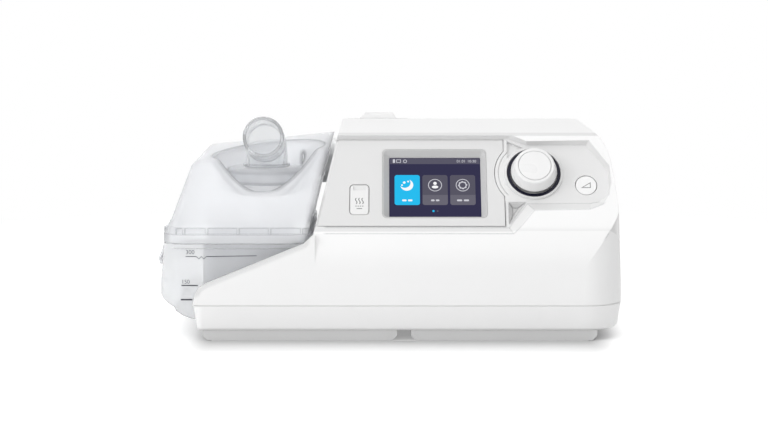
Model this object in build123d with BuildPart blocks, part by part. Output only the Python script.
from build123d import *
import math
import os

os.makedirs("parts", exist_ok=True)

# Main unit: X along the front, Y to the rear, Z up, millimetres
case_depth = 140.0
case_left = -103.0
case_right = 126.3
front_y = -case_depth / 2
back_y = case_depth / 2
parting_z = 18.8
base_z = 5.5
base_draft = 9.0
corner_r = 21.0
end_corner_r = 5.0
wall = 2.2
floor_t = 2.0
tray_z = base_z + floor_t
bay_side = 3.6

# Control face, leaning back from the front
panel_tilt = math.radians(33.5)
panel_y = front_y + 8.0
panel_z = 59.0
rim_depth = 3.0
fascia_t = 2.0
groove = 0.3
tilt_s = math.sin(panel_tilt)
tilt_c = math.cos(panel_tilt)
face = Plane(origin=(0, panel_y, panel_z), x_dir=(1, 0, 0), z_dir=(0, -tilt_c, tilt_s))
front_bend_r = 40.0

# Top of the housing, rising a little to the rear
top_front_z = 106.6
top_back_z = 109.4
back_edge_r = 6.0

# Leaning wall that the humidifier docks against
dock_x = -38.9
dock_low_z = 56.7
dock_rise = math.tan(math.radians(13.8))
dock_gap = 3.0


def dock_wall_x(z):
    return dock_x + max(0.0, z - dock_low_z) * dock_rise


def slope_y(z, proud):
    return panel_y - proud / tilt_c + (z - panel_z) * tilt_s / tilt_c


# Control layout on the sloped face, across and up from its origin
display_left = 1.5
display_w = 48.96
display_low = 7.8
display_h = 36.72
display_sunk = 3.0
knob_u = 79.1
knob_v = 33.4
ramp_u = case_right - 19.2
ramp_v = 26.3
hum_u = -14.65
hum_v = 17.65
knob_at = Plane(face.location * Pos(knob_u, knob_v, 0))

# Case screws, the same six places in both halves
screw_r = 1.5
screw_in = 9.0
screw_y = case_depth / 2 - screw_in
end_screw_y = screw_y - 4.0
end_screw_x = case_right - 13.3
screw_spots = [
    (-30, -screw_y), (-30, screw_y), (42, -screw_y), (42, screw_y),
    (end_screw_x, -end_screw_y), (end_screw_x, end_screw_y),
]


def housing_block(inset, slope_inset, start_z):
    low_z = parting_z - 5.0
    proud = rim_depth - slope_inset
    bend_z = panel_z + (front_y + inset - slope_y(panel_z, proud)) * tilt_c / tilt_s
    side_points = [
        (case_right - inset, low_z),
        (case_right - inset, parting_z),
        (case_right - 0.7 - inset, 32.0),
        (case_right - 2.2 - inset, 56.0),
        (case_right - 4.1 - inset, 84.0),
        (case_right - 5.2 - inset, 92.0),
        (case_right - 7.5 - inset, 100.0),
        (case_right - 10.3 - inset, 105.2 - inset * 0.4),
        (case_right - 14.7 - inset, 110.0 - inset * 0.4),
        (case_right - 18.3 - inset, 113.0),
    ]
    over_z = 113.0
    with BuildPart() as block:
        with BuildSketch(Plane.XZ.offset(front_y)):
            with BuildLine():
                Polyline(
                    side_points[1],
                    side_points[0],
                    (dock_x + inset, low_z),
                    (dock_x + inset, dock_low_z + inset * 0.12),
                    (dock_wall_x(over_z) + inset * 1.03, over_z),
                    side_points[-1],
                )
                Spline(*side_points[1:])
            make_face()
        extrude(amount=case_depth)
        with BuildSketch(Plane.YZ.offset(-60)) as side_view:
            with BuildLine():
                Polyline(
                    (front_y + inset, low_z),
                    (front_y + inset, bend_z),
                    (slope_y(top_front_z - inset, proud), top_front_z - inset),
                    (back_y - inset, top_back_z - inset),
                    (back_y - inset, low_z),
                    close=True,
                )
            make_face()
            fillet(side_view.vertices().sort_by_distance((front_y, 52, 0))[0], front_bend_r - inset)
            fillet(
                side_view.vertices().sort_by_distance((back_y, top_back_z, 0))[0],
                back_edge_r - inset,
            )
        extrude(amount=200, mode=Mode.INTERSECT)
        with BuildSketch(Plane.XY.offset(start_z)) as plan:
            with Locations((case_right - inset - 100, 0)):
                Rectangle(200, case_depth - 2 * inset)
            fillet(plan.vertices().group_by(Axis.X)[-1], corner_r - inset)
        extrude(amount=130, mode=Mode.INTERSECT)
    return block.part


# Lower housing: shallow tub of plastic, with the open tray for the humidifier at the left
with BuildPart() as bottom_case:
    with BuildSketch(Plane.XY.offset(parting_z)) as base_plan:
        with Locations(((case_left + case_right) / 2, 0)):
            Rectangle(case_right - case_left, case_depth)
        fillet(base_plan.vertices().group_by(Axis.X)[-1], corner_r)
        fillet(base_plan.vertices().group_by(Axis.X)[0], end_corner_r)
    extrude(amount=-(parting_z - base_z), taper=base_draft)
    fillet(bottom_case.faces().sort_by(Axis.Z)[0].edges(), 2.0)
    # electronics bay
    with BuildSketch(Plane.XY.offset(tray_z)) as bay_plan:
        with Locations(((dock_x + wall + case_right - 2 * wall) / 2, 0)):
            Rectangle(case_right - 3 * wall - dock_x, case_depth - 4 * wall)
        fillet(bay_plan.vertices().group_by(Axis.X)[-1], corner_r - 2 * wall)
    extrude(amount=parting_z, mode=Mode.SUBTRACT)
    # tray under the water tub, open at the left end
    with BuildSketch(Plane.XY.offset(tray_z)):
        with Locations(((case_left - 10 + dock_x) / 2, 0)):
            Rectangle(dock_x - case_left + 10, case_depth - 2 * bay_side)
    extrude(amount=parting_z, mode=Mode.SUBTRACT)
    # screw bosses
    with BuildSketch(Plane.XY.offset(base_z + 1)):
        with Locations(*screw_spots):
            Circle(5.0)
    extrude(amount=parting_z - base_z - 1)
    with Locations(*[(x, y, base_z) for x, y in screw_spots]):
        CounterBoreHole(screw_r + 0.2, 3.2, 5.0, depth=60)
bottom_case.part.label = "bottom_case"

# Long grey rubber feet under the base, in two lengths with a gap between
foot_bevel = 2.5
foot_gap_left = 5.4
foot_gap_right = 12.9
foot_left = -98.0
foot_right = case_right - 14.3
foot_w = 14.0
foot_front = case_depth / 2 - 3.5
for_foot = foot_front - foot_w / 2


def foot_strip(x0, x1):
    with BuildPart() as strip:
        with BuildSketch(Plane.XZ):
            with BuildLine():
                Polyline(
                    (x0, base_z), (x0, foot_bevel), (x0 + foot_bevel, 0),
                    (x1 - foot_bevel, 0), (x1, foot_bevel), (x1, base_z), close=True,
                )
            make_face()
        extrude(amount=foot_w / 2, both=True)
    return strip.part


with BuildPart() as left_feet:
    with Locations((0, -for_foot, 0), (0, for_foot, 0)):
        add(foot_strip(foot_left, foot_gap_left))
left_feet.part.label = "left_feet"

with BuildPart() as right_feet:
    with Locations((0, -for_foot, 0), (0, for_foot, 0)):
        add(foot_strip(foot_gap_right, foot_right))
right_feet.part.label = "right_feet"

# Upper housing: shell with the recessed control face, the docking bay cheeks and screw bosses
inner_slope = rim_depth + fascia_t + 2 * groove + wall
bay_left = case_left + 0.4
bay_front = [
    (bay_left, parting_z), (bay_left + 0.2, 21.2), (bay_left + 1.1, 25.3), (bay_left + 3.1, 28.7),
    (bay_left + 8.1, 31.4), (dock_x - 5.2, dock_low_z - 4.8), (dock_x, dock_low_z),
]
rear_lip_z = 31.0
fascia_left = 1.2
fascia_right = 63.0
fascia_top = 54.0
fascia_low = 1.9
bite_r = 21.2
deck_top = 50.8
deck_low = 15.2
deck_right = case_right - 6.9
collar_r = 15.9
collar_h = 1.2
fascia_edge = 2.2
pocket_drop = 3.0
parting_gap = 0.5
parting_in = 0.4
knob_well_r = 14.35
knob_well_floor = -5.0
bezel_box = (-2.5, 53.8, 6.6, 48.4)
port_y = 28.0
port_z = 88.0
port_w = 34.0
port_h = 24.0
filter_x = -5.3
filter_w = 36.0
filter_low_z = 62.0
card_y = 24.0
card_z = 44.0
jack_x = 94.0
jack_z = 32.0
jack_r = 5.6


def wall_u(v):
    return dock_wall_x(panel_z + v * tilt_c)


with BuildPart() as upper_case:
    add(housing_block(0, 0, parting_z))
    add(housing_block(wall, inner_slope, parting_z - 2), mode=Mode.SUBTRACT)
    # front cheek of the docking bay, its top edge sloping up to the docking wall
    with BuildSketch(Plane.XZ.offset(-front_y)):
        with BuildLine():
            Polyline(*bay_front, (dock_x + 1, dock_low_z), (dock_x + 1, parting_z), close=True)
        make_face()
    extrude(amount=-bay_side)
    # low rear cheek
    with BuildSketch(Plane.XZ.offset(-back_y)):
        with BuildLine():
            Polyline(
                bay_front[0], (bay_left + 0.2, rear_lip_z - 4), (bay_left + 4.6, rear_lip_z),
                (dock_x + 1, rear_lip_z), (dock_x + 1, parting_z), close=True,
            )
        make_face()
    extrude(amount=bay_side)
    # rim round the control face, bevelled down to it
    with BuildSketch(face):
        with BuildLine():
            Polyline(
                (-60, deck_top + 3.9), (fascia_right + 2.6, deck_top + 3.9),
                (fascia_right + 12.4, deck_top), (deck_right - 11.6, deck_top),
                (deck_right - 0.2, deck_top - 15.8), (deck_right, deck_low + 9.5),
                (deck_right - 2.4, deck_low + 3.8), (deck_right - 6.6, deck_low + 0.8),
                (deck_right - 10.4, deck_low + 0.1), (fascia_right + 12.1, deck_low),
                (fascia_right + 2.1, deck_low - 14.5), (-60, deck_low - 14.5), close=True,
            )
        make_face()
    with BuildSketch(face.offset(rim_depth + 1)):
        with BuildLine():
            Polyline(
                (-60, deck_top + 5.4), (fascia_right + 5.1, deck_top + 5.4),
                (fascia_right + 12.8, deck_top + 1.2), (deck_right - 9.2, deck_top + 2.1),
                (deck_right + 0.6, deck_top - 12.9), (deck_right + 1.3, deck_low + 12.6),
                (deck_right + 0.3, deck_low + 3.8), (deck_right - 2.6, deck_low - 2.1),
                (deck_right - 11.7, deck_low - 6.4), (fascia_right + 16.8, deck_low - 7.1),
                (fascia_right + 5.3, deck_low - 21.6), (-60, deck_low - 21.6), close=True,
            )
        make_face()
    loft(mode=Mode.SUBTRACT)
    # pocket for the display fascia, with its round bite beside the knob
    with BuildSketch(face):
        with BuildLine():
            Polyline(
                (wall_u(fascia_top + groove) - 9, fascia_top + groove),
                (fascia_right + groove, fascia_top + groove),
                (fascia_right + groove, fascia_low - groove),
                (wall_u(fascia_low - groove) - 9, fascia_low - groove),
                close=True,
            )
        make_face()
        with Locations((knob_u, knob_v)):
            Circle(bite_r - groove, mode=Mode.SUBTRACT)
    extrude(amount=-fascia_t, mode=Mode.SUBTRACT)
    # two pockets beside the fascia, above and below the knob, and the raised collar of the knob
    pocket_left = fascia_right + fascia_edge
    with BuildSketch(face):
        with BuildLine():
            Polyline(
                (pocket_left, deck_low + 0.9), (fascia_right + 11.4, deck_low + 0.9),
                (fascia_right + 2.6, deck_low - 12.2), (pocket_left, deck_low - 12.2), close=True,
            )
        make_face()
    extrude(amount=-pocket_drop, taper=35, mode=Mode.SUBTRACT)
    with BuildSketch(face):
        with BuildLine():
            Polyline(
                (pocket_left, deck_top + 2.4), (pocket_left + 0.4, deck_top + 2.4),
                (fascia_right + 11.3, deck_top - 1.8), (fascia_right + 11.3, deck_top - 12.0),
                (pocket_left, deck_top - 12.0), close=True,
            )
        make_face()
        with Locations((knob_u, knob_v)):
            Circle(collar_r + 0.8, mode=Mode.SUBTRACT)
    extrude(amount=-pocket_drop / 2, mode=Mode.SUBTRACT)
    with BuildSketch(face):
        with Locations((knob_u, knob_v)):
            Circle(bite_r - fascia_edge + 0.2)
            Circle(bite_r - fascia_edge - 0.2, mode=Mode.SUBTRACT)
        with Locations((pocket_left + 20, knob_v)):
            Rectangle(40, 60, mode=Mode.SUBTRACT)
    extrude(amount=-0.4, mode=Mode.SUBTRACT)
    with BuildSketch(knob_at):
        Circle(collar_r)
        Circle(knob_well_r, mode=Mode.SUBTRACT)
    extrude(amount=collar_h, taper=12)
    with BuildSketch(knob_at):
        Circle(knob_well_r + 2)
    extrude(amount=knob_well_floor - 1.5)
    with BuildSketch(knob_at.offset(collar_h + 1)):
        Circle(knob_well_r)
    extrude(amount=knob_well_floor - collar_h - 1, mode=Mode.SUBTRACT)
    with BuildSketch(knob_at):
        Circle(4.2)
    extrude(amount=-20, mode=Mode.SUBTRACT)
    # ramp button hole, and windows behind the fascia for the display and the humidifier button
    with BuildSketch(face):
        with Locations((ramp_u, ramp_v)):
            Circle(5.65 + groove)
        with Locations((hum_u, hum_v)):
            RectangleRounded(12.0, 20.0, 3.0)
        with Locations(((bezel_box[0] + bezel_box[1]) / 2, (bezel_box[2] + bezel_box[3]) / 2)):
            RectangleRounded(bezel_box[1] - bezel_box[0] + 1.0, bezel_box[3] - bezel_box[2] + 1.0, 3.0)
    extrude(amount=-20, mode=Mode.SUBTRACT)
    # air port in the docking wall
    with BuildSketch(Plane.YZ.offset(dock_x - 5)):
        with Locations((port_y, port_z - 2)):
            SlotOverall(port_w - 8, port_h - 8)
    extrude(amount=24, mode=Mode.SUBTRACT)
    # filter bay at the top of the rear wall
    with BuildSketch(Plane.XZ.offset(-back_y - 1)):
        with Locations((filter_x, (filter_low_z + 120) / 2)):
            Rectangle(filter_w, 120 - filter_low_z)
    extrude(amount=4.5 + 1, mode=Mode.SUBTRACT)
    # openings of the power inlet and the card slot
    with Locations(Plane((jack_x, back_y + 1, jack_z), z_dir=(0, 1, 0))):
        Cylinder(jack_r, 12, mode=Mode.SUBTRACT)
    with Locations((case_right, card_y, card_z)):
        Box(20, 26, 3.6, mode=Mode.SUBTRACT)
    # bosses for the case screws
    with BuildSketch(Plane.XY.offset(parting_z)):
        with Locations(*screw_spots):
            Circle(4.0)
        with Locations(*[(x, math.copysign(screw_y + screw_in / 2, y)) for x, y in screw_spots[:4]]):
            Rectangle(3, 9)
        with Locations((end_screw_x + 3.5, -screw_y + 0.5), (end_screw_x + 3.5, screw_y - 0.5)):
            Circle(3.5)
    extrude(amount=14)
    with BuildSketch(Plane.XY.offset(parting_z)):
        with Locations(*screw_spots):
            Circle(screw_r)
    extrude(amount=11, mode=Mode.SUBTRACT)
    # thin shadow groove where the two halves meet
    with BuildSketch(Plane.XY.offset(parting_z)) as outline:
        with Locations(((case_left + case_right) / 2, 0)):
            Rectangle(case_right - case_left + 4, case_depth + 4)
            Rectangle(
                case_right - case_left - 2 * parting_in, case_depth - 2 * parting_in,
                mode=Mode.SUBTRACT,
            )
        fillet(outline.vertices().group_by(Axis.X)[-2], corner_r - parting_in)
        fillet(outline.vertices().group_by(Axis.X)[1], end_corner_r - parting_in)
    extrude(amount=parting_gap, mode=Mode.SUBTRACT)
upper_case.part.label = "upper_case"

# Display fascia: light grey plate that carries the display frame and the humidifier button
with BuildPart() as control_fascia:
    with BuildSketch(face):
        with BuildLine():
            Polyline(
                (wall_u(fascia_top) + fascia_left, fascia_top), (fascia_right, fascia_top),
                (fascia_right, fascia_low), (wall_u(fascia_low) + fascia_left, fascia_low), close=True,
            )
        make_face()
        with Locations((knob_u, knob_v)):
            Circle(bite_r, mode=Mode.SUBTRACT)
    extrude(amount=-fascia_t)
    with BuildSketch(face):
        with Locations((hum_u, hum_v)):
            RectangleRounded(10.0 + 2 * groove, 17.8 + 2 * groove, 2.2)
        with Locations(((bezel_box[0] + bezel_box[1]) / 2, (bezel_box[2] + bezel_box[3]) / 2)):
            RectangleRounded(bezel_box[1] - bezel_box[0], bezel_box[3] - bezel_box[2], 2.6)
    extrude(amount=-fascia_t, mode=Mode.SUBTRACT)
control_fascia.part.label = "control_fascia"

# Display frame: grey funnel from the fascia down to the glass
bezel_gap = 0.1
bezel_mid = ((bezel_box[0] + bezel_box[1]) / 2, (bezel_box[2] + bezel_box[3]) / 2)
bezel_w = bezel_box[1] - bezel_box[0] - 2 * bezel_gap
bezel_h = bezel_box[3] - bezel_box[2] - 2 * bezel_gap
display_mid = (display_left + display_w / 2, display_low + display_h / 2)
bezel_deep = 4.2
with BuildPart() as display_bezel:
    with BuildSketch(face):
        with Locations(bezel_mid):
            RectangleRounded(bezel_w, bezel_h, 2.5)
    extrude(amount=-bezel_deep)
    with BuildSketch(face.offset(0.01)):
        with Locations(bezel_mid):
            RectangleRounded(bezel_w - 1.2, bezel_h - 1.2, 2.2)
    with BuildSketch(face.offset(-display_sunk)):
        with Locations(display_mid):
            RectangleRounded(display_w + 0.4, display_h + 0.4, 0.6)
    loft(mode=Mode.SUBTRACT)
    with BuildSketch(face):
        with Locations(display_mid):
            RectangleRounded(display_w + 0.4, display_h + 0.4, 0.6)
    extrude(amount=-bezel_deep, mode=Mode.SUBTRACT)
display_bezel.part.label = "display_bezel"

# Cover glass and the colour display behind it, against the back of the frame
glass_t = 1.0
with BuildPart() as display_glass:
    with BuildSketch(face.offset(-display_sunk)):
        with Locations(display_mid):
            RectangleRounded(display_w, display_h, 0.5)
    extrude(amount=-(bezel_deep - display_sunk))
    with BuildSketch(face.offset(-bezel_deep)):
        with Locations(display_mid):
            RectangleRounded(display_w + 5, display_h + 3, 1.0)
    extrude(amount=-glass_t)
display_glass.part.label = "display_glass"

panel_back = bezel_deep + glass_t
with BuildPart() as display_panel:
    with BuildSketch(face.offset(-panel_back)):
        with Locations(display_mid):
            RectangleRounded(display_w + 8, display_h + 6, 1.0)
    extrude(amount=-3.2)
display_panel.part.label = "display_panel"

# Humidifier button with a scooped nook for the fingertip
press_travel = 0.8
hum_w = 10.0
hum_h = 17.8
with BuildPart() as humidifier_button:
    with BuildSketch(face):
        with Locations((hum_u, hum_v)):
            RectangleRounded(hum_w, hum_h, 2.0)
    extrude(amount=-fascia_t - 1.2)
    above = Plane(face.location * Pos(hum_u, hum_v, 60)).origin
    fillet(humidifier_button.faces().sort_by_distance(above)[0].edges(), 0.4)
    with BuildSketch(face.offset(-fascia_t - 1.2)):
        with Locations((hum_u, hum_v)):
            Circle(1.6)
    extrude(amount=-2.4)
    with Locations(face.location * Pos(hum_u, hum_v + 6.6, 1.0) * Rot(24, 0, 0)):
        Box(6.4, 2.4, 3.4, mode=Mode.SUBTRACT)
humidifier_button.part.label = "humidifier_button"

# Ramp button, a flush round key
ramp_r = 5.65
with BuildPart() as ramp_button:
    with BuildSketch(face):
        with Locations((ramp_u, ramp_v)):
            Circle(ramp_r)
    extrude(amount=-fascia_t - 1.2)
    above = Plane(face.location * Pos(ramp_u, ramp_v, 60)).origin
    fillet(ramp_button.edges().filter_by(GeomType.CIRCLE).sort_by_distance(above)[0], 0.4)
    with BuildSketch(face.offset(-fascia_t - 1.2)):
        with Locations((ramp_u, ramp_v)):
            Circle(1.6)
    extrude(amount=-2.4)
ramp_button.part.label = "ramp_button"

# Switches under the two buttons and the board that carries them, the display and the encoder
switch_top = -(fascia_t + 1.2 + 2.4 + press_travel + 0.15)
board_top = -panel_back - 3.2 - 0.6
board_t = 1.6
with BuildPart() as button_switches:
    with BuildSketch(face.offset(board_top)):
        with Locations((hum_u, hum_v), (ramp_u, ramp_v)):
            Rectangle(6, 6)
    extrude(amount=switch_top - board_top)
button_switches.part.label = "button_switches"

with BuildPart() as control_board:
    with BuildSketch(face.offset(board_top)):
        with BuildLine():
            Polyline(
                (-21, 5), (-16, 46), (deck_right - 15.4, 46), (deck_right - 6.4, 40),
                (deck_right - 6.4, 19), (66, 17), (62, 5), close=True,
            )
        make_face()
    extrude(amount=-board_t)
control_board.part.label = "control_board"

# Encoder of the knob: fixed body, a rotor that turns, and the shaft that turns with it and is pressed in
enc_body_r = 7.5
enc_bush_r = 4.0
rotor_r = 3.2
shaft_r = 2.4
shaft_play = 0.05
knob_press = 0.5
shaft_top = 6.0
with BuildPart() as encoder_body:
    with BuildSketch(knob_at.offset(board_top)):
        Circle(enc_body_r)
    extrude(amount=2.2)
    with BuildSketch(knob_at.offset(board_top)):
        Circle(enc_bush_r)
    extrude(amount=knob_well_floor - 1.5 - board_top)
    with BuildSketch(knob_at.offset(board_top + 1.0)):
        Circle(rotor_r + shaft_play)
    extrude(amount=20, mode=Mode.SUBTRACT)
encoder_body.part.label = "encoder_body"

rotor_low = board_top + 1.1
rotor_high = knob_well_floor
with BuildPart() as encoder_rotor:
    with BuildSketch(knob_at.offset(rotor_low)):
        Circle(rotor_r)
    extrude(amount=rotor_high - rotor_low)
    with BuildSketch(knob_at.offset(rotor_low + 0.8)):
        Circle(shaft_r + shaft_play)
        with Locations((0, shaft_r + 1.0)):
            Rectangle(2 * shaft_r, 2.0, mode=Mode.SUBTRACT)
    extrude(amount=20, mode=Mode.SUBTRACT)
encoder_rotor.part.label = "encoder_rotor"

knob_r = 12.4
knob_top_r = 10.6
knob_low = collar_h + knob_press + 1.2
knob_high = 9.3
disc_r = 8.7
with BuildPart() as encoder_shaft:
    with BuildSketch(knob_at.offset(rotor_low + 0.8 + knob_press + 0.1)):
        Circle(shaft_r)
        with Locations((0, shaft_r + 1.0 - shaft_play)):
            Rectangle(2 * shaft_r, 2.0, mode=Mode.SUBTRACT)
    extrude(amount=shaft_top - (rotor_low + 0.8 + knob_press + 0.1))
encoder_shaft.part.label = "encoder_shaft"

# Knob: white cone with a rounded rim and a dished top that holds a disc
with BuildPart() as knob:
    with BuildSketch(knob_at.offset(knob_low)):
        Circle(knob_r)
    with BuildSketch(knob_at.offset(knob_high)):
        Circle(knob_top_r)
    loft()
    above = knob_at.origin + knob_at.z_dir * 60
    fillet(knob.edges().filter_by(GeomType.CIRCLE).sort_by_distance(above)[0], 1.0)
    with BuildSketch(knob_at.offset(knob_low)):
        Circle(knob_r - 1.8)
        Circle(4.2, mode=Mode.SUBTRACT)
    extrude(amount=knob_high - knob_low - 2.4, taper=12, mode=Mode.SUBTRACT)
    with BuildSketch(knob_at.offset(knob_low)):
        Circle(shaft_r + 0.02)
    extrude(amount=shaft_top - knob_low, mode=Mode.SUBTRACT)
    with BuildSketch(knob_at.offset(knob_high - 0.6)):
        Circle(disc_r + 0.2)
    extrude(amount=5, mode=Mode.SUBTRACT)
knob.part.label = "knob"

with BuildPart() as knob_disc:
    with BuildSketch(knob_at.offset(knob_high - 0.6)):
        Circle(disc_r)
    extrude(amount=0.8)
    fillet(knob_disc.edges().filter_by(GeomType.CIRCLE).sort_by_distance(above)[0], 0.3)
knob_disc.part.label = "knob_disc"

# Dark ring that lights round the foot of the knob
with BuildPart() as knob_ring:
    with BuildSketch(knob_at.offset(knob_well_floor)):
        Circle(knob_well_r - 0.1)
        Circle(knob_r + 0.4, mode=Mode.SUBTRACT)
    extrude(amount=collar_h - 0.3 - knob_well_floor)
knob_ring.part.label = "knob_ring"

# Water tub: clear, with a turned-up left end, a heating plate let into its floor
tub_wall = 2.0
tub_top = 51.0
tub_low = 10.1
tub_front = front_y + 10.5
tub_back = back_y - 12.5
tub_right = dock_x - 2.6
tub_corner_r = 14.0
tub_left = -122.4
tub_side = [
    (-119.0, tub_top), (-120.3, 40.5), (-122.2, 27.0), (-121.8, 22.7), (-120.3, 20.5),
    (-117.3, 18.3), (-113.8, 16.5), (-112.7, 14.4), (-109.0, 12.1), (-105.2, 10.6),
    (-103.2, tub_low), (tub_right, tub_low), (tub_right, tub_top),
]
hot_w = 51.0
hot_d = 90.0
hot_x = -73.5
tub_rim_w = 2.0
tub_rim_h = 2.6


# Hinge at the rear of the tub, and the latch that hangs from the left of the lid
lid_low = tub_top + 0.2
lid_flange_back = back_y - 10.0
hinge_y = back_y - 6.8
hinge_z = 52.2
hinge_pin_r = 1.5
knuckle_r = 2.9
hinge_spots = [-96.0, -66.0]
knuckle_w = 12.0
lug_w = 4.0
latch_y = -8.0
latch_w = 26.0
latch_x = -121.4
latch_z = 54.0
latch_pin_r = 0.9


def tub_block(inset, over):
    with BuildPart() as block:
        with BuildSketch(Plane.XZ.offset(-tub_back - 10)):
            with BuildLine():
                Polyline(*tub_side, close=True)
            make_face()
            if inset:
                offset(amount=-inset, kind=Kind.INTERSECTION)
        extrude(amount=tub_back - tub_front + 20)
        if over:
            with BuildSketch(Plane.XY.offset(tub_top - inset)):
                with Locations(((tub_side[0][0] + tub_right) / 2, (tub_front + tub_back) / 2)):
                    Rectangle(tub_right - tub_side[0][0] - 2 * inset, tub_back - tub_front)
            extrude(amount=over)
        with BuildSketch(Plane.XY) as plan:
            with Locations(((tub_right - inset - 100), (tub_front + tub_back) / 2)):
                Rectangle(200, tub_back - tub_front - 2 * inset)
            fillet(plan.vertices().group_by(Axis.X)[-1], 5.0)
            with Locations(((tub_right + 20 + tub_left + inset) / 2, (tub_front + tub_back) / 2)):
                RectangleRounded(
                    tub_right + 20 - tub_left - inset, tub_back - tub_front - 2 * inset,
                    tub_corner_r - inset, mode=Mode.INTERSECT,
                )
        extrude(amount=80, mode=Mode.INTERSECT)
    return block.part


with BuildPart() as water_tub:
    add(tub_block(0, 0))
    # rim for the lid to sit on
    with BuildSketch(Plane.XY.offset(tub_top)):
        with Locations(((tub_side[0][0] + tub_right) / 2, (tub_front + tub_back) / 2)):
            RectangleRounded(
                tub_right - tub_side[0][0] + 1, tub_back - tub_front + 2 * tub_rim_w, tub_corner_r,
            )
    extrude(amount=-tub_rim_h)
    add(tub_block(tub_wall, 6), mode=Mode.SUBTRACT)
    with BuildSketch(Plane.XY.offset(tub_low)):
        with Locations((hot_x, 0)):
            RectangleRounded(hot_w, hot_d, 8)
    extrude(amount=tub_wall, mode=Mode.SUBTRACT)
    # hinge lugs, one each side of both knuckles of the lid
    lug_off = knuckle_w / 2 + 0.3 + lug_w / 2
    for x in [spot + side * lug_off for spot in hinge_spots for side in (-1, 1)]:
        with BuildSketch(Plane.YZ.offset(x)):
            with Locations((hinge_y, hinge_z)):
                Circle(knuckle_r)
            with BuildLine():
                Polyline(
                    (tub_back + 1, tub_top - 0.2), (lid_flange_back + 0.6, tub_top - 0.2),
                    (lid_flange_back + 0.8, hinge_z + 1.2), (hinge_y + 2.0, hinge_z - 2.1),
                    (tub_back + 1, tub_top - 7), close=True,
                )
            make_face()
            with Locations((hinge_y, hinge_z)):
                Circle(hinge_pin_r, mode=Mode.SUBTRACT)
        extrude(amount=lug_w / 2, both=True)
water_tub.part.label = "water_tub"

# Catch for the latch, a bead welded to the left of the rim
with BuildPart() as latch_catch:
    with Locations((tub_side[0][0] - 0.5 - 0.9, latch_y, tub_top - 1.3)):
        Box(1.8, latch_w - 8, 1.4)
latch_catch.part.label = "latch_catch"

# Metal base of the tub, clamped over a seal round its opening
base_seal_t = 0.8
hot_gap = 0.2
heater_top = tub_low - 0.6
with BuildPart() as tub_base_seal:
    with BuildSketch(Plane.XY.offset(tub_low + tub_wall)):
        with Locations((hot_x, 0)):
            RectangleRounded(hot_w + 6, hot_d + 6, 10.5)
            RectangleRounded(hot_w, hot_d, 8, mode=Mode.SUBTRACT)
    extrude(amount=base_seal_t)
tub_base_seal.part.label = "tub_base_seal"

with BuildPart() as tub_heat_base:
    with BuildSketch(Plane.XY.offset(heater_top + hot_gap)):
        with Locations((hot_x, 0)):
            RectangleRounded(hot_w - 0.6, hot_d - 0.6, 7.7)
    extrude(amount=tub_low + tub_wall + base_seal_t - heater_top - hot_gap)
    with BuildSketch(Plane.XY.offset(tub_low + tub_wall + base_seal_t)):
        with Locations((hot_x, 0)):
            RectangleRounded(hot_w + 5, hot_d + 5, 10)
    extrude(amount=1.0)
tub_heat_base.part.label = "tub_heat_base"

# Heater in the tray: pad and plate
pad_t = 0.8
with BuildPart() as heater_pad:
    with BuildSketch(Plane.XY.offset(tray_z)):
        with Locations((hot_x, 0)):
            RectangleRounded(hot_w - 2, hot_d - 2, 7)
    extrude(amount=pad_t)
heater_pad.part.label = "heater_pad"

with BuildPart() as heater_plate:
    with BuildSketch(Plane.XY.offset(tray_z + pad_t)):
        with Locations((hot_x, 0)):
            RectangleRounded(hot_w - 2, hot_d - 2, 7)
    extrude(amount=heater_top - tray_z - pad_t)
heater_plate.part.label = "heater_plate"

# Air baffle that stands in the tub on four legs
baffle_left = -99.5
baffle_rib = -93.2
baffle_right = -54.5
baffle_top = 47.5
baffle_low = 22.0
baffle_d = 84.0
baffle_t = 1.6
floor_in = tub_low + tub_wall + base_seal_t + 1.0
with BuildPart() as air_baffle:
    with BuildSketch(Plane.XY.offset(baffle_low)):
        with Locations(((baffle_left + baffle_right) / 2, 0)):
            Rectangle(baffle_right - baffle_left, baffle_d)
            Rectangle(
                baffle_right - baffle_left - 2 * baffle_t, baffle_d - 2 * baffle_t,
                mode=Mode.SUBTRACT,
            )
        with Locations((baffle_rib, 0)):
            Rectangle(baffle_t, baffle_d)
    extrude(amount=baffle_top - baffle_low)
    with BuildSketch(Plane.XY.offset(baffle_low)):
        with Locations(((baffle_left + baffle_right) / 2, 0)):
            with GridLocations(baffle_right - baffle_left - 4, baffle_d - 4, 2, 2):
                Rectangle(4, 4)
    extrude(amount=floor_in - baffle_low)
    # half of the top is closed, so the air has to cross the water
    with BuildSketch(Plane.XY.offset(baffle_top)):
        with Locations(((baffle_rib + baffle_right) / 2, -baffle_d / 4)):
            Rectangle(baffle_right - baffle_rib, baffle_d / 2)
    extrude(amount=-baffle_t)
air_baffle.part.label = "air_baffle"

# Chamber lid: clear, its front in line with the control face, its top twisting up to the rear right
lid_wall = 2.0
lid_flange_top = 56.0
lid_step_top = 59.2
lid_front = front_y + 8.4
lid_back = back_y - 11.0
lid_flange_front = front_y + 7.6
lid_left = -117.8
lid_lean = 0.345
lid_corner_r = 12.0
crease_y = front_y + 30.0
rib_spots = [-108.0, -95.9, -79.1, -62.4, -45.3]
band_depth = 1.6
seal_w = 1.4
seal_groove = 1.4
seal_r = tub_corner_r - 2
seal_mid = ((tub_side[0][0] + tub_right) / 2, (tub_front + tub_back) / 2)
seal_out_w = tub_right - tub_side[0][0] - 1.0
seal_out_d = tub_back - tub_front - 0.6


def lid_top_left(y):
    return 92.8 + (y - crease_y) * 0.022


def lid_top_right(y):
    return 100.2 + (y - crease_y) * 0.022


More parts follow.
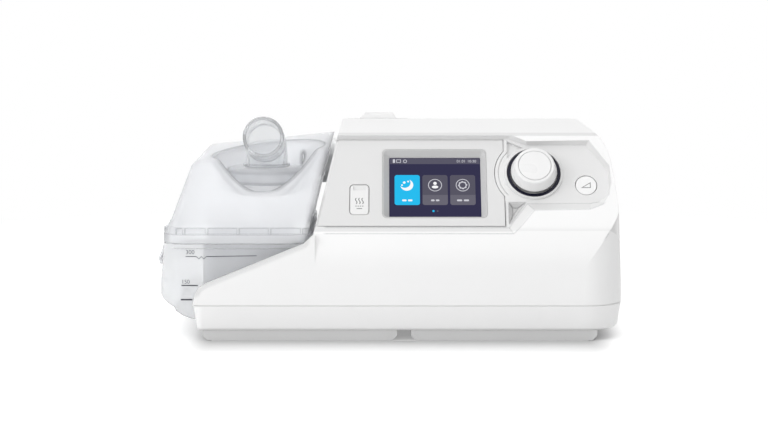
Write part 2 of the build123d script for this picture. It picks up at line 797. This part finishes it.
def lid_block(inset, low_z, edge_r):
    y0 = front_y - 2
    y1 = lid_back - inset
    sections = []
    for y in (y0, y1):
        zl = lid_top_left(y) - inset
        zr = lid_top_right(y) - inset
        sections.append([
            (lid_left + inset * 1.05 + (low_z - lid_flange_top) * lid_lean, low_z),
            (lid_left + inset * 1.05 + (zl - lid_flange_top) * lid_lean, zl),
            (dock_wall_x(zr) - dock_gap - inset * 1.03, zr),
            (dock_wall_x(dock_low_z + 2) - dock_gap - inset * 1.03, dock_low_z + 2),
            (dock_x - dock_gap - inset * 1.03, low_z),
        ])
    with BuildPart() as block:
        for y, points in zip((y0, y1), sections):
            with BuildSketch(Plane.XZ.offset(-y)):
                with BuildLine():
                    Polyline(*points, close=True)
                make_face()
        loft(ruled=True)
        split(bisect_by=face.offset(-inset), keep=Keep.BOTTOM)
        split(bisect_by=Plane.XZ.offset(-lid_front - inset * 2), keep=Keep.BOTTOM)
        soft = [
            e for e in block.edges()
            if (e.center().X < -100 and e.center().Z > low_z + 0.5)
            or (e.length > 55 and abs(e.center().X + 67) < 9 and e.center().Z > 85)
        ]
        fillet(soft, edge_r)
    return block.part


# Scoop in the lid round the outlet: an oval funnel that runs out through the front slope
scoop_floor = 78.0
port_x = -67.3
drum_r = 21.6
drum_top = 87.0
drum_edge_r = 2.8
leg_r = 11.65


def scoop_block(grow):
    with BuildPart() as block:
        with BuildSketch(Plane.XY.offset(scoop_floor - grow)):
            with Locations((port_x + 0.5, -13.4)):
                Ellipse(19.5 + grow + 3.0, 36.5 + grow)
        with BuildSketch(Plane.XY.offset(106.0)):
            with Locations((port_x + 1.0, -12.5)):
                Ellipse(34.5 + grow, 50.5 + grow)
        loft()
    return block.part


with BuildPart() as lid_hollow:
    add(lid_block(lid_wall, tub_top - 3, 3.4))
    add(scoop_block(lid_wall), mode=Mode.SUBTRACT)

with BuildPart() as chamber_lid:
    add(lid_block(0, lid_flange_top, 5.2))
    # flange that covers the rim of the tub
    with BuildSketch(Plane.XY.offset(lid_low)):
        with Locations(((tub_side[0][0] + tub_right) / 2, (lid_flange_front + lid_flange_back) / 2)):
            RectangleRounded(
                tub_right - tub_side[0][0] + 1.2, lid_flange_back - lid_flange_front, lid_corner_r,
            )
    extrude(amount=lid_flange_top - lid_low)
    add(scoop_block(0), mode=Mode.SUBTRACT)
    # drum that carries the outlet
    with BuildSketch(Plane.XY.offset(scoop_floor - lid_wall)):
        with Locations((port_x, 0)):
            Circle(drum_r)
    extrude(amount=drum_top - scoop_floor + lid_wall)
    drum_edges = chamber_lid.edges().filter_by(GeomType.CIRCLE)
    fillet(drum_edges.sort_by_distance((port_x, 0, drum_top + 20))[0], drum_edge_r)
    add(lid_hollow.part, mode=Mode.SUBTRACT)
    with BuildSketch(Plane.XY.offset(scoop_floor - lid_wall - 1)):
        with Locations((port_x, 0)):
            Circle(drum_r - lid_wall)
    extrude(amount=drum_top - scoop_floor + 1, mode=Mode.SUBTRACT)
    with BuildSketch(Plane.XY.offset(drum_top)):
        with Locations((port_x, 0)):
            Circle(leg_r + 2.2)
    extrude(amount=-9.0)
    with BuildSketch(Plane.XY.offset(drum_top + 1)):
        with Locations((port_x, 0)):
            Circle(leg_r + 0.08)
    extrude(amount=-12.0, mode=Mode.SUBTRACT)
    # groove for the seal
    with BuildSketch(Plane.XY.offset(lid_low)):
        with Locations(seal_mid):
            RectangleRounded(seal_out_w, seal_out_d, seal_r)
            RectangleRounded(
                seal_out_w - 2 * seal_w, seal_out_d - 2 * seal_w, seal_r - seal_w,
                mode=Mode.SUBTRACT,
            )
    extrude(amount=seal_groove, mode=Mode.SUBTRACT)
    # set-back band with small ribs above the flange
    with BuildSketch(Plane.XY.offset(lid_flange_top)):
        with Locations(((rib_spots[0] + rib_spots[-1]) / 2, lid_front + band_depth / 2 - 1)):
            Rectangle(rib_spots[-1] - rib_spots[0] + 8, band_depth + 2)
        with Locations(*[(x, lid_front) for x in rib_spots]):
            Rectangle(1.2, 12, mode=Mode.SUBTRACT)
    extrude(amount=lid_step_top - lid_flange_top, mode=Mode.SUBTRACT)
    # air inlet facing the docking wall
    with BuildSketch(Plane.YZ.offset(-48)):
        with Locations((port_y, port_z - 2)):
            SlotOverall(port_w - 10, port_h - 10)
    extrude(amount=30, mode=Mode.SUBTRACT)
    # hinge knuckles
    for x in hinge_spots:
        with BuildSketch(Plane.YZ.offset(x)):
            with Locations((hinge_y, hinge_z)):
                Circle(knuckle_r)
            with Locations(((lid_back + hinge_y) / 2, hinge_z + 1.0)):
                Rectangle(hinge_y - lid_back, 3.6)
            with Locations((hinge_y, hinge_z)):
                Circle(hinge_pin_r + 0.05, mode=Mode.SUBTRACT)
        extrude(amount=knuckle_w / 2, both=True)
    # ears and pivot pin of the latch
    for y in (latch_y - latch_w / 2 - 1.5, latch_y + latch_w / 2 + 1.5):
        with Locations((latch_x + 0.6, y, latch_z)):
            Box(3.6, 2.4, 3.4)
    with Locations((latch_x, latch_y, latch_z)):
        Cylinder(latch_pin_r, latch_w + 4, rotation=(90, 0, 0))
chamber_lid.part.label = "chamber_lid"

with BuildPart() as lid_seal:
    with BuildSketch(Plane.XY.offset(tub_top)):
        with Locations(seal_mid):
            RectangleRounded(seal_out_w - 0.2, seal_out_d - 0.2, seal_r - 0.1)
            RectangleRounded(
                seal_out_w - 2 * seal_w + 0.2, seal_out_d - 2 * seal_w + 0.2,
                seal_r - seal_w + 0.1, mode=Mode.SUBTRACT,
            )
    extrude(amount=lid_low + seal_groove - tub_top)
lid_seal.part.label = "lid_seal"

with BuildPart() as hinge_pins:
    with Locations(*[(x, hinge_y, hinge_z) for x in hinge_spots]):
        Cylinder(hinge_pin_r, knuckle_w + 2 * lug_w + 0.6, rotation=(0, 90, 0))
hinge_pins.part.label = "hinge_pins"

# Latch: a thin springy tongue with a bead to pull, and a nose that snaps under the catch
latch_path = [
    (latch_x, latch_z), (latch_x - 0.7, 51.4), (latch_x - 0.9, 48.4), (latch_x - 1.3, 45.5),
    (latch_x - 2.4, 42.0), (latch_x - 4.3, 37.6), (latch_x - 3.5, 35.4),
]
with BuildPart() as lid_latch:
    with BuildSketch(Plane.XZ.offset(-latch_y)):
        with BuildLine():
            Polyline(*latch_path)
        trace(line_width=1.2)
        with Locations(latch_path[0]):
            Circle(1.55)
        with Locations(latch_path[-1]):
            Circle(0.9)
        with BuildLine():
            Polyline((latch_x - 0.9, 48.8), (latch_x + 1.1, 48.6), (latch_x - 0.9, 46.4), close=True)
        make_face()
        with Locations(latch_path[0]):
            Circle(latch_pin_r + 0.06, mode=Mode.SUBTRACT)
    extrude(amount=latch_w / 2, both=True)
lid_latch.part.label = "lid_latch"

# Outlet elbow: swivels in the drum, its mouth a 22 mm cone leaning up to the front
mouth_r = 11.2
mouth_len = 14.0
bore_r = 9.4
mouth_tilt = math.radians(14.0)
bend_r = 12.6
leg_low = drum_top - 8.0
bend_z = 98.1
mouth_reach = 30.9
bend_angle = math.pi / 2 - mouth_tilt
tangent = bend_r * math.tan(bend_angle / 2)
bend_low = bend_z - tangent
mouth_dir = (0, -math.cos(mouth_tilt), math.sin(mouth_tilt))
mouth_start = (port_x, mouth_dir[1] * tangent, bend_z + mouth_dir[2] * tangent)
cuff_reach = mouth_reach - mouth_len
cuff_start = (port_x, mouth_dir[1] * cuff_reach, bend_z + mouth_dir[2] * cuff_reach)


def elbow_bend(r):
    with BuildPart() as bend:
        with BuildSketch(Plane((port_x, 0, bend_low))):
            Circle(r)
        revolve(
            axis=Axis((port_x, -bend_r, bend_low), (1, 0, 0)), revolution_arc=math.degrees(bend_angle),
        )
    return bend.part


with BuildPart() as outlet_elbow:
    with BuildSketch(Plane.XY.offset(leg_low)):
        with Locations((port_x, 0)):
            Circle(leg_r)
    extrude(amount=bend_low - leg_low)
    add(elbow_bend(leg_r))
    with BuildSketch(Plane(mouth_start, x_dir=(1, 0, 0), z_dir=mouth_dir)):
        Circle(leg_r)
    with BuildSketch(Plane(cuff_start, x_dir=(1, 0, 0), z_dir=mouth_dir)):
        Circle(mouth_r)
    loft()
    with BuildSketch(Plane(cuff_start, x_dir=(1, 0, 0), z_dir=mouth_dir)):
        Circle(mouth_r)
    extrude(amount=mouth_len)
    # collar that rests on the drum
    with BuildSketch(Plane.XY.offset(drum_top + 0.1)):
        with Locations((port_x, 0)):
            Circle(leg_r + 1.4)
    extrude(amount=1.4)
    add(elbow_bend(bore_r), mode=Mode.SUBTRACT)
    with BuildSketch(Plane.XY.offset(leg_low - 1)):
        with Locations((port_x, 0)):
            Circle(bore_r)
    extrude(amount=bend_low - leg_low + 1, mode=Mode.SUBTRACT)
    with BuildSketch(Plane(mouth_start, x_dir=(1, 0, 0), z_dir=mouth_dir)):
        Circle(bore_r)
    extrude(amount=mouth_reach, mode=Mode.SUBTRACT)
    # groove for the sealing ring
    with BuildSketch(Plane.XY.offset(leg_low + 2.5)):
        with Locations((port_x, 0)):
            Circle(leg_r + 1)
            Circle(leg_r - 1.0, mode=Mode.SUBTRACT)
    extrude(amount=2.0, mode=Mode.SUBTRACT)
outlet_elbow.part.label = "outlet_elbow"

with BuildPart() as elbow_seal:
    with BuildSketch(Plane.XY.offset(leg_low + 2.6)):
        with Locations((port_x, 0)):
            Circle(leg_r)
            Circle(leg_r - 0.9, mode=Mode.SUBTRACT)
    extrude(amount=1.8)
elbow_seal.part.label = "elbow_seal"


# Seal of the air port, on the docking wall, just short of the lid
with BuildPart() as port_seal:
    with BuildSketch(Plane.YZ.offset(dock_x - 4)):
        with Locations((port_y, port_z)):
            RectangleRounded(port_w, port_h, 8)
            with Locations((0, -2)):
                SlotOverall(port_w - 8, port_h - 9, mode=Mode.SUBTRACT)
    extrude(amount=24)
    with BuildSketch(Plane.XZ.offset(-port_y)):
        with BuildLine():
            Polyline(
                (dock_wall_x(70) - dock_gap + 0.4, 70), (dock_wall_x(110) - dock_gap + 0.4, 110),
                (dock_wall_x(110), 110), (dock_wall_x(70), 70), close=True,
            )
        make_face()
    extrude(amount=40, both=True, mode=Mode.INTERSECT)
port_seal.part.label = "port_seal"

# Blower: two-piece scroll housing, motor under it, wheel and shaft that spin
fan_x = 52.0
fan_y = 16.0
fan_low = 20.0
scroll_r = 31.0
scroll_h = 24.0
scroll_wall = 1.8
scroll_split = fan_low + 12.0
outlet_w = 20.0
outlet_y = fan_y + 22.0
wheel_r = 24.0
eye_r = 11.0
shaft_rr = 1.5


def scroll_shape(inset, low_z, high_z):
    with BuildPart() as block:
        with BuildSketch(Plane.XY.offset(low_z)):
            with Locations((fan_x, fan_y)):
                Circle(scroll_r - inset)
            with Locations((fan_x + 2, fan_y + 3)):
                Circle(scroll_r - inset)
            with Locations(((fan_x - 40) + 20, outlet_y)):
                Rectangle(40, outlet_w - 2 * inset)
        extrude(amount=high_z - low_z)
    return block.part


with BuildPart() as blower_lower_housing:
    add(scroll_shape(0, fan_low, scroll_split))
    add(scroll_shape(scroll_wall, fan_low + scroll_wall, scroll_split + 5), mode=Mode.SUBTRACT)
    with BuildSketch(Plane.XY.offset(fan_low - 1)):
        with Locations((fan_x, fan_y)):
            Circle(3.5)
    extrude(amount=6, mode=Mode.SUBTRACT)
    with BuildSketch(Plane.YZ.offset(fan_x - 45)):
        with Locations((outlet_y, fan_low + scroll_h / 2)):
            Circle(7.4)
    extrude(amount=20, mode=Mode.SUBTRACT)
blower_lower_housing.part.label = "blower_lower_housing"

with BuildPart() as blower_upper_housing:
    add(scroll_shape(0, scroll_split, fan_low + scroll_h))
    add(
        scroll_shape(scroll_wall, scroll_split - 5, fan_low + scroll_h - scroll_wall), mode=Mode.SUBTRACT,
    )
    with BuildSketch(Plane.XY.offset(fan_low + scroll_h - 4)):
        with Locations((fan_x, fan_y)):
            Circle(eye_r)
    extrude(amount=8, mode=Mode.SUBTRACT)
    with BuildSketch(Plane.YZ.offset(fan_x - 45)):
        with Locations((outlet_y, fan_low + scroll_h / 2)):
            Circle(7.4)
    extrude(amount=20, mode=Mode.SUBTRACT)
blower_upper_housing.part.label = "blower_upper_housing"

motor_r = 16.0
motor_h = 9.0
with BuildPart() as blower_motor:
    with BuildSketch(Plane.XY.offset(fan_low)):
        with Locations((fan_x, fan_y)):
            Circle(motor_r)
    extrude(amount=-motor_h)
    with BuildSketch(Plane.XY.offset(fan_low)):
        with Locations((fan_x, fan_y)):
            Circle(3.3)
    extrude(amount=2.0)
    with BuildSketch(Plane.XY.offset(fan_low + 3)):
        with Locations((fan_x, fan_y)):
            Circle(shaft_rr + 0.03)
    extrude(amount=-motor_h + 0.5, mode=Mode.SUBTRACT)
blower_motor.part.label = "blower_motor"

with BuildPart() as motor_shaft:
    with BuildSketch(Plane.XY.offset(fan_low - 4)):
        with Locations((fan_x, fan_y)):
            Circle(shaft_rr)
    extrude(amount=20)
motor_shaft.part.label = "motor_shaft"

# Wheel: back plate, hub, curved blades and a ring over their tips
wheel_low = fan_low + 5.0
wheel_h = 12.0
blade_count = 11
with BuildSketch() as blade:
    with BuildLine():
        ThreePointArc((8.5, 0), (16.0, 2.6), (wheel_r - 2.0, 9.0))
    trace(line_width=1.2)

with BuildPart() as impeller:
    with BuildSketch(Plane.XY.offset(wheel_low)):
        with Locations((fan_x, fan_y)):
            Circle(wheel_r)
    extrude(amount=1.4)
    with BuildSketch(Plane.XY.offset(wheel_low)):
        with Locations((fan_x, fan_y)):
            Circle(4.5)
    extrude(amount=wheel_h - 2)
    with BuildSketch(Plane.XY.offset(wheel_low + 1.4)):
        with Locations((fan_x, fan_y)):
            with PolarLocations(0, blade_count):
                add(blade.sketch)
    extrude(amount=wheel_h - 2.6)
    with BuildSketch(Plane.XY.offset(wheel_low + wheel_h - 1.2)):
        with Locations((fan_x, fan_y)):
            Circle(wheel_r)
            Circle(eye_r + 1, mode=Mode.SUBTRACT)
    extrude(amount=1.2)
    with BuildSketch(Plane.XY.offset(wheel_low)):
        with Locations((fan_x, fan_y)):
            Circle(shaft_rr)
    extrude(amount=20, mode=Mode.SUBTRACT)
impeller.part.label = "impeller"

# Rubber feet under the blower
with BuildPart() as blower_mounts:
    with BuildSketch(Plane.XY.offset(tray_z)):
        with Locations((fan_x, fan_y)):
            with PolarLocations(24, 3, start_angle=30):
                Circle(4)
    extrude(amount=fan_low - tray_z)
blower_mounts.part.label = "blower_mounts"

# Duct from the blower outlet up to the port in the docking wall
duct_r = 9.0
duct_in = (fan_x - 40.3, outlet_y, fan_low + scroll_h / 2)
with BuildPart() as outlet_duct:
    with BuildLine() as duct_path:
        Spline(
            duct_in, (0, outlet_y - 2, 42), (-14, port_y + 3, 66), (-22, port_y, port_z - 2),
            tangents=[(-1, 0, 0), (-1, 0, 0.2)],
        )
    with BuildSketch(Plane(duct_in, x_dir=(0, 1, 0), z_dir=(-1, 0, 0))):
        Circle(duct_r)
        Circle(duct_r - 1.5, mode=Mode.SUBTRACT)
    sweep(path=duct_path.line)
outlet_duct.part.label = "outlet_duct"

# Main board on the floor, in front of the blower
board_y = front_y + 30.0
with BuildPart() as main_board:
    with BuildSketch(Plane.XY.offset(tray_z + 5)):
        with Locations((40, board_y)):
            Rectangle(130, 30)
    extrude(amount=1.6)
    with BuildSketch(Plane.XY.offset(tray_z)):
        with Locations((40, board_y)):
            with GridLocations(120, 22, 2, 2):
                Circle(2.5)
    extrude(amount=5)
    with BuildSketch(Plane.XY.offset(tray_z + 6.6)):
        with Locations((0, board_y), (30, board_y + 4), (88, board_y - 2)):
            Rectangle(14, 14)
        with Locations((62, board_y)):
            Rectangle(22, 10)
    extrude(amount=3)
main_board.part.label = "main_board"

# Air filter and its cover at the top of the rear wall, with a raised grip
cover_t = 2.0
cover_gap = 0.3
grip_left = -16.4
grip_right = 5.8
grip_h = 3.2
with BuildPart() as filter_cover:
    with BuildSketch(Plane.XZ.offset(-back_y)):
        with Locations((filter_x, (filter_low_z + top_back_z) / 2)):
            Rectangle(filter_w - 2 * cover_gap, top_back_z - filter_low_z - 2 * cover_gap)
        with Locations((filter_x, (filter_low_z + top_back_z) / 2 - 4)):
            with GridLocations(0, 5.0, 1, 6):
                SlotOverall(filter_w - 14, 2.2, mode=Mode.SUBTRACT)
    extrude(amount=cover_t)
    with BuildSketch(Plane.XZ.offset(-back_y)):
        with BuildLine():
            Polyline(
                (grip_left, top_back_z - 4), (grip_left, top_back_z - 0.5),
                (grip_left + 4, top_back_z + grip_h), (grip_right - 2, top_back_z + grip_h),
                (grip_right, top_back_z - 0.5), (grip_right, top_back_z - 4), close=True,
            )
        make_face()
    extrude(amount=3.8)
filter_cover.part.label = "filter_cover"

with BuildPart() as air_filter:
    with BuildSketch(Plane.XZ.offset(-back_y + cover_t + 0.3)):
        with Locations((filter_x, filter_low_z + 20)):
            Rectangle(filter_w - 4, 34)
    extrude(amount=1.8)
air_filter.part.label = "air_filter"

# Power inlet: barrel socket with a centre pin, held in the rear wall
with BuildPart() as dc_jack:
    with Locations(Plane((jack_x, back_y - wall - 5, jack_z), z_dir=(0, 1, 0))):
        Cylinder(jack_r - 0.1, 2 * (wall + 5) - 0.6)
    with Locations(Plane((jack_x, back_y - 0.6 - 4.75, jack_z), z_dir=(0, 1, 0))):
        Cylinder(3.2, 9.5, mode=Mode.SUBTRACT)
        Cylinder(1.25, 9.5)
    with Locations(Plane((jack_x, back_y - wall - 0.8, jack_z), z_dir=(0, 1, 0))):
        Cylinder(jack_r + 1.4, 1.6)
dc_jack.part.label = "dc_jack"

# Memory card and its socket inside the right wall
card_w = 24.0
card_l = 32.0
card_t = 2.1
card_out = 1.2
with BuildPart() as card_socket:
    with Locations((case_right - 3.0 - card_l / 2, card_y, card_z)):
        Box(card_l - 2, card_w + 4, card_t + 2.3)
        Box(card_l - 1, card_w + 0.4, card_t + 0.4, mode=Mode.SUBTRACT)
card_socket.part.label = "card_socket"

with BuildPart() as memory_card:
    with Locations((case_right - 1.4 + card_out - card_l / 2, card_y, card_z)):
        Box(card_l, card_w, card_t)
    chamfer(memory_card.edges().filter_by(Axis.Z).group_by(Axis.X)[0].sort_by(Axis.Y)[0], 4)
memory_card.part.label = "memory_card"

# Screws that hold the two halves of the case together, from below
with BuildPart() as case_screws:
    with BuildSketch(Plane.XY.offset(base_z + 5.0)):
        with Locations(*screw_spots):
            Circle(2.75)
            RegularPolygon(1.4, 6, mode=Mode.SUBTRACT)
    extrude(amount=-2.0)
    with BuildSketch(Plane.XY.offset(base_z + 5.0)):
        with Locations(*screw_spots):
            Circle(screw_r - 0.05)
    extrude(amount=18)
    with BuildSketch(Plane.XY.offset(base_z + 5.0)):
        with Locations(*screw_spots):
            Circle(2.75)
    extrude(amount=-0.8)
case_screws.part.label = "case_screws"

# One file for each piece
export_step(bottom_case.part, "parts/bottom_case.step")
export_step(left_feet.part, "parts/left_feet.step")
export_step(right_feet.part, "parts/right_feet.step")
export_step(upper_case.part, "parts/upper_case.step")
export_step(control_fascia.part, "parts/control_fascia.step")
export_step(display_bezel.part, "parts/display_bezel.step")
export_step(display_glass.part, "parts/display_glass.step")
export_step(display_panel.part, "parts/display_panel.step")
export_step(humidifier_button.part, "parts/humidifier_button.step")
export_step(ramp_button.part, "parts/ramp_button.step")
export_step(button_switches.part, "parts/button_switches.step")
export_step(control_board.part, "parts/control_board.step")
export_step(encoder_body.part, "parts/encoder_body.step")
export_step(encoder_rotor.part, "parts/encoder_rotor.step")
export_step(encoder_shaft.part, "parts/encoder_shaft.step")
export_step(knob.part, "parts/knob.step")
export_step(knob_disc.part, "parts/knob_disc.step")
export_step(knob_ring.part, "parts/knob_ring.step")
export_step(water_tub.part, "parts/water_tub.step")
export_step(latch_catch.part, "parts/latch_catch.step")
export_step(tub_base_seal.part, "parts/tub_base_seal.step")
export_step(tub_heat_base.part, "parts/tub_heat_base.step")
export_step(heater_pad.part, "parts/heater_pad.step")
export_step(heater_plate.part, "parts/heater_plate.step")
export_step(air_baffle.part, "parts/air_baffle.step")
export_step(chamber_lid.part, "parts/chamber_lid.step")
export_step(lid_seal.part, "parts/lid_seal.step")
export_step(hinge_pins.part, "parts/hinge_pins.step")
export_step(lid_latch.part, "parts/lid_latch.step")
export_step(outlet_elbow.part, "parts/outlet_elbow.step")
export_step(elbow_seal.part, "parts/elbow_seal.step")
export_step(port_seal.part, "parts/port_seal.step")
export_step(blower_lower_housing.part, "parts/blower_lower_housing.step")
export_step(blower_upper_housing.part, "parts/blower_upper_housing.step")
export_step(blower_motor.part, "parts/blower_motor.step")
export_step(motor_shaft.part, "parts/motor_shaft.step")
export_step(impeller.part, "parts/impeller.step")
export_step(blower_mounts.part, "parts/blower_mounts.step")
export_step(outlet_duct.part, "parts/outlet_duct.step")
export_step(main_board.part, "parts/main_board.step")
export_step(filter_cover.part, "parts/filter_cover.step")
export_step(air_filter.part, "parts/air_filter.step")
export_step(dc_jack.part, "parts/dc_jack.step")
export_step(card_socket.part, "parts/card_socket.step")
export_step(memory_card.part, "parts/memory_card.step")
export_step(case_screws.part, "parts/case_screws.step")
